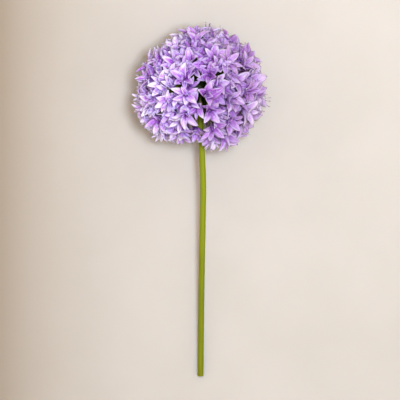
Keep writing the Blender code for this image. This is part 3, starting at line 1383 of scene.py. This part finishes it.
@dataclass
class Pistils:
    """The three-lobed ovary in every floret, with its style."""

    florets: list[Floret]
    finish: Material
    radius: float = 1.35 * MM
    height: float = 2.4 * MM
    lobes: float = 3.0
    lobe_depth: float = 0.14
    ovary_faces: tuple[int, int] = (12, 7)
    style_root: float = 0.8
    style_length: float = 5.0 * MM
    style_radius: float = 0.22 * MM
    style_sides: int = 4
    scale_scatter: tuple[float, float] = (0.9, 1.1)
    seed: int = 31

    def spots(self) -> list[Spot]:
        """Finds where each pistil goes.

        Returns:
            The spots.
        """
        rng = random.Random(self.seed)
        spots = []
        for floret in self.florets:
            size = Vector((1, 1, 1)) * rng.uniform(*self.scale_scatter)
            spots.append(Spot(floret.hub, floret.turned(0.0), size, 0, rng.random()))
        return spots

    def build(self) -> Object:
        """Grows the pistils.

        Returns:
            The piece.
        """
        growth = Growth("pistils", Radius="Float", Height="Float", Style="Float")
        height = growth.entry["Height"]
        segments, rings = self.ovary_faces
        inputs = {"Segments": segments, "Rings": rings, "Radius": 1.0}
        ball = growth.first("GeometryNodeMeshUVSphere", inputs)
        x, y, z = growth.parts(growth.first("GeometryNodeInputPosition"))
        waves = growth.math("COSINE", growth.times(growth.math("ARCTAN2", y, x), self.lobes))
        wide = growth.times(growth.plus(growth.times(waves, self.lobe_depth), 1.0), growth.entry["Radius"])
        tall = growth.times(growth.plus(z, 1.0), growth.times(height, 0.5))
        ovary = growth.moved(ball, growth.joined(growth.times(x, wide), growth.times(y, wide), tall))
        top = growth.plus(height, growth.entry["Style"])
        foot = growth.times(height, self.style_root)
        ends = {"Start": growth.joined(z=foot), "End": growth.joined(z=top)}
        line = growth.first("GeometryNodeCurvePrimitiveLine", ends)
        style = growth.tube(line, growth.ring(self.style_sides), self.style_radius)
        whole = growth.add("GeometryNodeJoinGeometry")
        growth.feed(whole.inputs[0], ovary)
        growth.feed(whole.inputs[0], style)
        growth.close(growth.on_spots(growth.mark(whole.outputs[0], "along", growth.math("DIVIDE", z, top))))
        sizes = {"Radius": self.radius, "Height": self.height, "Style": self.style_length}
        return growth.grow(growth.host(self.spots()), self.finish, **sizes)


@dataclass
class Stalks:
    """The slim stalks that carry the florets, from the receptacle to each hub."""

    florets: list[Floret]
    centre: Vector
    finish: Material
    radius: float = 0.8 * MM
    flare: float = 0.9
    flare_sharpness: float = 10.0
    root_depth: float = 8.0 * MM
    bow: float = 2.2 * MM
    root_pull: float = 0.4
    hub_pull: float = 0.28
    points: int = 9
    sides: int = 7
    seed: int = 51

    def host(self) -> Mesh:
        """Draws the stalks' centre lines, each a gentle bow that ends the way its floret faces.

        Returns:
            The mesh, with each stalk's tint.
        """
        rng = random.Random(self.seed)
        lines, tints = [], []
        for floret in self.florets:
            root = self.centre + floret.direction * self.root_depth
            reach = (floret.hub - root).length
            bow = Vector([swing(rng, self.bow) for _ in range(3)])
            first = root + floret.direction * reach * self.root_pull + bow
            last = floret.hub - floret.facing * reach * self.hub_pull
            lines.append(interpolate_bezier(root, first, last, floret.hub, self.points))
            tints += [rng.random()] * self.points
        mesh = mesh_of_lines("stalks", lines)
        mesh.attributes.new("tint", "FLOAT", "POINT").data.foreach_set("value", tints)
        return mesh

    def build(self) -> Object:
        """Grows the stalks, each a little wider where it carries its floret.

        Returns:
            The piece.
        """
        growth = Growth("stalks", Radius="Float", Sides="Int")
        curve = growth.first("GeometryNodeMeshToCurve", {0: growth.entry["Host"]})
        flare = growth.times(growth.math("POWER", growth.share(), self.flare_sharpness), self.flare)
        radius = growth.times(growth.plus(flare, 1.0), growth.entry["Radius"])
        growth.close(growth.tube(curve, growth.ring(growth.entry["Sides"]), radius))
        return growth.grow(self.host(), self.finish, Radius=self.radius, Sides=self.sides)


@dataclass
class Receptacle:
    """The swollen top of the stem, turned about the stem's direction.

    The profile gives the radius and the height of its points in millimetres, from the crown to the foot.
    """

    centre: Vector
    direction: Vector
    finish: Material
    profile: Places = (
        (0, 11),
        (6.4, 9.2),
        (10.6, 3.6),
        (10.4, -3.6),
        (6, -9.6),
        (3.6, -14.3),
        (0, -14.3),
    )
    # The receptacle reaches only this far along the stalks' colour, so it takes their painted root shade.
    painted_root_share: float = 0.35
    steps: int = 24

    def build(self) -> Object:
        """Turns the receptacle and rounds it.

        Returns:
            The piece.
        """
        points = [Vector((radius * MM, 0, height * MM)) for radius, height in self.profile]
        host = link_object("receptacle", mesh_of_lines("receptacle", [points]))
        screw = host.modifiers.new("turned", "SCREW")
        screw.steps = screw.render_steps = self.steps
        screw.use_merge_vertices = True
        screw.merge_threshold = 0.01 * MM
        rounding = host.modifiers.new("rounded", "SUBSURF")
        rounding.levels = rounding.render_levels = 1
        mesh = evaluated_mesh(host)
        crown, foot = self.profile[0][1] * MM, self.profile[-1][1] * MM
        # Painted shade: the receptacle takes the stalks' dark root colour.
        along = [(vert.co.z - foot) / (crown - foot) * self.painted_root_share for vert in mesh.vertices]
        turns = [math.atan2(vert.co.y, vert.co.x) / math.tau + 0.5 for vert in mesh.vertices]
        for key, values in (("along", along), ("round", turns)):
            mesh.attributes.new(key, "FLOAT", "POINT").data.foreach_set("value", values)
        turned = (-self.direction).to_track_quat("Z", "Y").to_matrix().to_4x4()
        mesh.transform(Matrix.Translation(self.centre) @ turned)
        mesh.shade_smooth()
        mesh.materials.append(self.finish)
        return link_object("receptacle", mesh)


@dataclass
class Stem:
    """The bare stem: a faintly ribbed tube along its bend, with its cut face.

    The bend gives points of the stem in millimetres, along and across from the middle of the globe. The cut
    gives the width and the depth of each step from the rim of the cut face to its hollow.
    """

    centre: Vector
    finish: Material
    pith: Material
    radius: float = 3.45 * MM
    length: float = 328.0 * MM
    sinking: float = 0.15 * MM
    neck_foot: float = 14.0 * MM
    bend: Places = (
        (0, 0.0),
        (-36, 0.6),
        (-66, 2.5),
        (-110, 4.2),
        (-155, 3.6),
        (-229, 2.3),
        (-328, 1.2),
    )
    ribs: float = 9.0
    rib_depth: float = 0.018
    sides: int = 54
    points: int = 150
    cut_steps: Places = ((0.35 * MM, 0.0), (0.9 * MM, -0.15 * MM), (0.9 * MM, -0.5 * MM))

    def point(self, distance: float) -> Vector:
        """Finds a point of the centre line, on a smooth curve through the bend's points.

        Args:
            distance: Its distance along -Y from the middle of the globe.

        Returns:
            The point.
        """
        places = [Vector(place) * MM for place in self.bend]
        last = len(places) - 2
        index = next((i for i in range(last) if places[i + 1].x <= -distance), last)
        start, end = places[index], places[index + 1]
        before, after = places[max(index - 1, 0)], places[min(index + 2, last + 1)]
        run = end.x - start.x
        share = (-distance - start.x) / run
        slope_start = (end.y - before.y) / (end.x - before.x) * run
        slope_end = (after.y - start.y) / (after.x - start.x) * run
        across = (
            (2 * share**3 - 3 * share**2 + 1) * start.y
            + (share**3 - 2 * share**2 + share) * slope_start
            + (3 * share**2 - 2 * share**3) * end.y
            + (share**3 - share**2) * slope_end
        )
        foot = self.radius - self.sinking
        height = foot + (self.centre.z - foot) * (1 - distance / self.length)
        return Vector((across, -distance, height))

    def direction(self) -> Vector:
        """The way that the stem leaves the middle of the globe."""
        return (self.point(self.neck_foot) - self.centre).normalized()

    def host(self) -> Mesh:
        """Draws the stem's centre line, straight for a moment where it leaves the receptacle.

        Returns:
            The mesh.
        """
        first = self.neck_foot + 2 * self.radius
        step = (self.length - first) / (self.points - 2)
        line = [self.centre + self.direction() * self.neck_foot]
        line += [self.point(first + step * i) for i in range(self.points - 1)]
        return mesh_of_lines("stem line", [line])

    def build(self) -> Object:
        """Grows the stem and opens its cut face.

        Returns:
            The piece.
        """
        growth = Growth("scape", Radius="Float", Ribs="Float", Rib_depth="Float", Sides="Int")
        curve = growth.first("GeometryNodeMeshToCurve", {0: growth.entry["Host"]})
        waves = growth.math("COSINE", growth.times(growth.share(), math.tau, growth.entry["Ribs"]))
        size = growth.plus(growth.times(waves, growth.entry["Rib_depth"]), 1.0)
        here = growth.first("GeometryNodeInputPosition")
        ribbed = growth.first("ShaderNodeVectorMath", {0: here, 3: size}, operation="SCALE")
        profile = growth.moved(growth.ring(growth.entry["Sides"]), ribbed)
        growth.close(growth.tube(curve, profile, growth.entry["Radius"]))
        sizes = {"Radius": self.radius, "Ribs": self.ribs, "Rib_depth": self.rib_depth, "Sides": self.sides}
        stem = growth.grow(self.host(), self.finish, Squeeze=0.0, **sizes)
        self.cut(stem.data)
        return stem

    def cut(self, mesh: Mesh) -> None:
        """Gives the far end its hollowed, paler cut face, and presses the skin on the surface.

        Args:
            mesh: The stem's mesh.
        """
        mesh.materials.append(self.pith)
        bm = bmesh.new()
        bm.from_mesh(mesh)
        bmesh.ops.remove_doubles(bm, verts=bm.verts, dist=0.01 * MM)
        end = min(bm.faces, key=lambda face: face.calc_center_median().y)
        for width, depth in self.cut_steps:
            bmesh.ops.inset_individual(bm, faces=[end], thickness=width, depth=depth)
            end.material_index = 1
        for edge in end.edges:
            for face in edge.link_faces:
                face.material_index = 1
        bmesh.ops.poke(bm, faces=[end])
        for vert in bm.verts:
            vert.co.z = max(vert.co.z, 0.0)
        bm.to_mesh(mesh)
        bm.free()


@dataclass
class Studio:
    """The plaster surface, the soft light and the camera, as the photo has them."""

    plaster: Material
    centre: Vector
    image_width: int = 400
    pixel_size: float = 1.13 * MM
    head_pixel: tuple[float, float] = (199.5, 88.0)
    camera_height: float = 4.0
    camera_range: float = 10.0
    sensor: float = 36.0
    floor_size: float = 4.0
    key_power: float = 46.2
    key_colour: tuple[float, float, float] = (0.89, 0.93, 1.0)
    key_size: float = 0.38
    key_direction: Vector = Vector((0.118, 0.0, 1.0)).normalized()
    key_distance: float = 2.0
    sky: Colour = screen_colour(255, 237, 214)
    sky_strength: float = 0.99

    def build_floor(self) -> None:
        """Lays the plaster surface."""
        mesh = bpy.data.meshes.new("plaster")
        bm = bmesh.new()
        bmesh.ops.create_grid(bm, x_segments=1, y_segments=1, size=self.floor_size / 2)
        bm.to_mesh(mesh)
        bm.free()
        mesh.materials.append(self.plaster)
        floor = link_object("plaster_surface", mesh)

    def build_lights(self) -> None:
        """Hangs the large soft lamp over the right side, under an even pale sky."""
        lamp = bpy.data.lights.new("soft lamp", "AREA")
        lamp.shape = "DISK"
        lamp.size = self.key_size
        lamp.energy = self.key_power
        lamp.color = self.key_colour
        key = link_object("soft_lamp", lamp)
        key.location = self.centre + self.key_direction * self.key_distance
        key.rotation_mode = "QUATERNION"
        key.rotation_quaternion = self.key_direction.to_track_quat("Z", "Y")
        world = bpy.data.worlds.new("pale sky")
        world.use_nodes = True
        background = world.node_tree.nodes["Background"]
        background.inputs["Color"].default_value = self.sky
        background.inputs["Strength"].default_value = self.sky_strength
        bpy.context.scene.world = world

    def build_camera(self) -> None:
        """Hangs the camera straight above, so that the head falls on its pixel of the photo."""
        camera = bpy.data.cameras.new("camera")
        distance = self.camera_height - self.centre.z
        camera.sensor_width = self.sensor
        camera.lens = self.sensor * distance / (self.image_width * self.pixel_size)
        camera.clip_end = self.camera_range
        eye = link_object("camera", camera)
        half = self.image_width / 2
        across = (half - self.head_pixel[0]) * self.pixel_size
        along = (self.head_pixel[1] - half) * self.pixel_size
        eye.location = (self.centre.x + across, self.centre.y + along, self.camera_height)
        bpy.context.scene.camera = eye

    def build(self) -> None:
        """Sets up the studio."""
        self.build_floor()
        self.build_lights()
        self.build_camera()
        bpy.context.scene.view_settings.view_transform = "Standard"


def seat(piece: Object, node: str) -> None:
    """Puts a finished piece in the frame and reports it.

    Args:
        piece: The piece, a plain mesh at the origin.
        node: The solid that it stands for.
    """
    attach(piece, BODY)
    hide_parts(node)
    triangles = sum(len(face.vertices) - 2 for face in piece.data.polygons)
    LOG.info("%s stands for %s: %d triangles", piece.name, node, triangles)


def main() -> None:
    """Builds the bloom and its studio."""
    logging.basicConfig(level=logging.INFO, format="%(message)s")
    effects = Effects()
    umbel = Umbel()
    stem_green = GreenFinish(
        name="stem green",
        # Painted light: the stem is lighter towards its root, where the florets shade it.
        root=screen_colour(124, 139, 8),
        painted_root_share=0.6,
        far=screen_colour(104, 110, 2),
        far_share=0.6,
        streak_length=9.0,
        streak_count=42.0,
        roughness=(0.48, 0.35),
        bump=0.3,
    )
    stem = Stem(umbel.centre, stem_green.build(effects), PithFinish().build(effects))
    florets = umbel.florets(stem.direction())
    florets += umbel.fillers(stem.direction(), florets)
    LOG.info("%d florets", len(florets))
    tepal = TepalFinish(umbel.centre).build(effects)
    stalk_green = GreenFinish().build(effects)
    stamens = Stamens(florets, StamenFinish().build(effects), AntherFinish().build(effects))
    head = [Tepals(whorl, florets, tepal).build() for whorl in Whorl]
    head += [stamens.build_filaments(), stamens.build_anthers()]
    head.append(Pistils(florets, PistilFinish().build(effects)).build())
    head.append(Stalks(florets, umbel.centre, stalk_green).build())
    head.append(Receptacle(umbel.centre, stem.direction(), stalk_green).build())
    for piece in head:
        seat(piece, "flower_head")
    seat(stem.build(), "stem")
    Studio(PlasterFinish().build(effects), umbel.centre).build()


if __name__ == "__main__":
    main()
